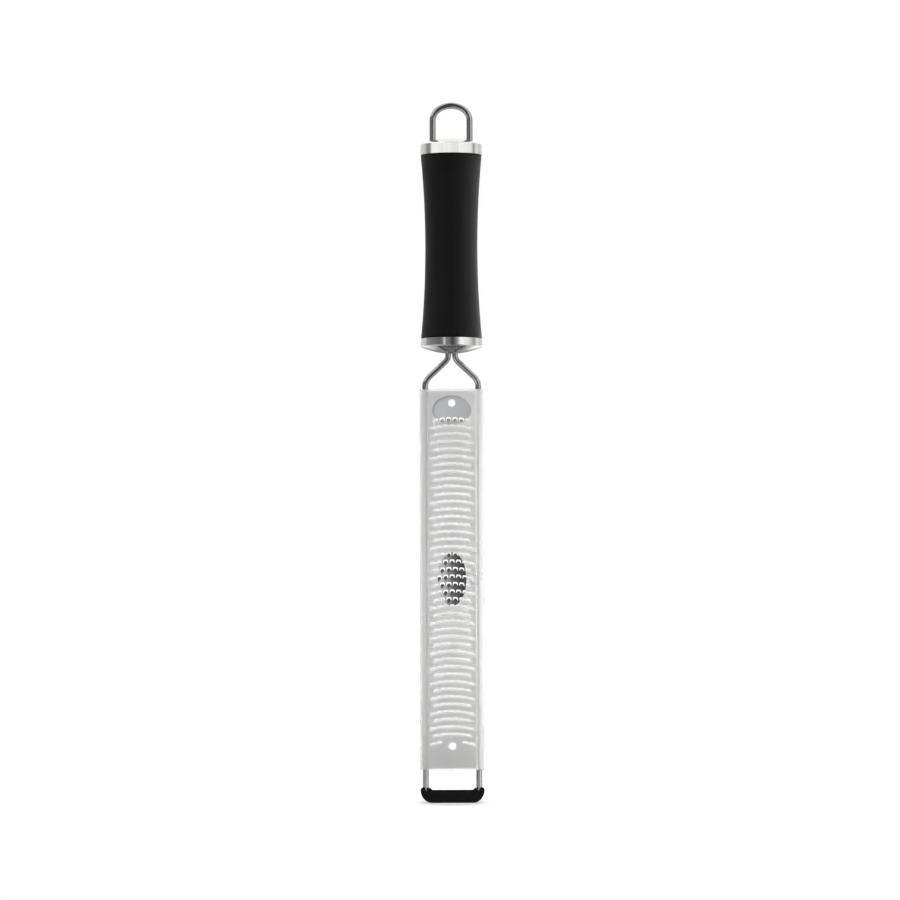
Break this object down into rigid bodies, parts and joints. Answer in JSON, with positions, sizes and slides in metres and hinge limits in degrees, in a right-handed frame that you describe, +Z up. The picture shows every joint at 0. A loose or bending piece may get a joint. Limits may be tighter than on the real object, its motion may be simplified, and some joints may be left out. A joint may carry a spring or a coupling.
{
  "type": "cheese grater",
  "caption": "Hand-held rasp grater: etched steel blade on a bent wire frame, soft waisted grip with steel caps and a hang loop, rubber foot and a frosted pull-off blade guard.",
  "frame": {"origin": "middle of the foot's underside, on the surface the grater stands on", "axes": "+Z up the handle to the hang loop, +X to the right as seen from the toothed face, +Y out of the back; the teeth and the guard face -Y"},
  "size_m": [0.0324, 0.0316, 0.3557],
  "materials": {
    "polished_wire": "polished stainless wire",
    "etched_blade_steel": "satin etched stainless sheet",
    "satin_cap_steel": "satin turned stainless",
    "grip_rubber": "soft-touch matte",
    "foot_rubber": "matte",
    "core_plastic": "moulded",
    "frosted_guard": "frosted translucent"
  },
  "bodies": {
    "grater": {"wire_frame": "polished_wire", "grater_blade": "etched_blade_steel", "foot": "foot_rubber", "handle_core": "core_plastic", "grip": "grip_rubber", "lower_cap": "satin_cap_steel", "upper_cap": "satin_cap_steel", "hang_loop": "polished_wire"},
    "guard": {"blade_guard": "frosted_guard"}
  },
  "joints": [
    {"name": "guard_pull", "type": "slide", "parent": "grater", "child": "guard", "axis": [0, -1, 0], "range_m": [0, 0.05]}
  ]
}
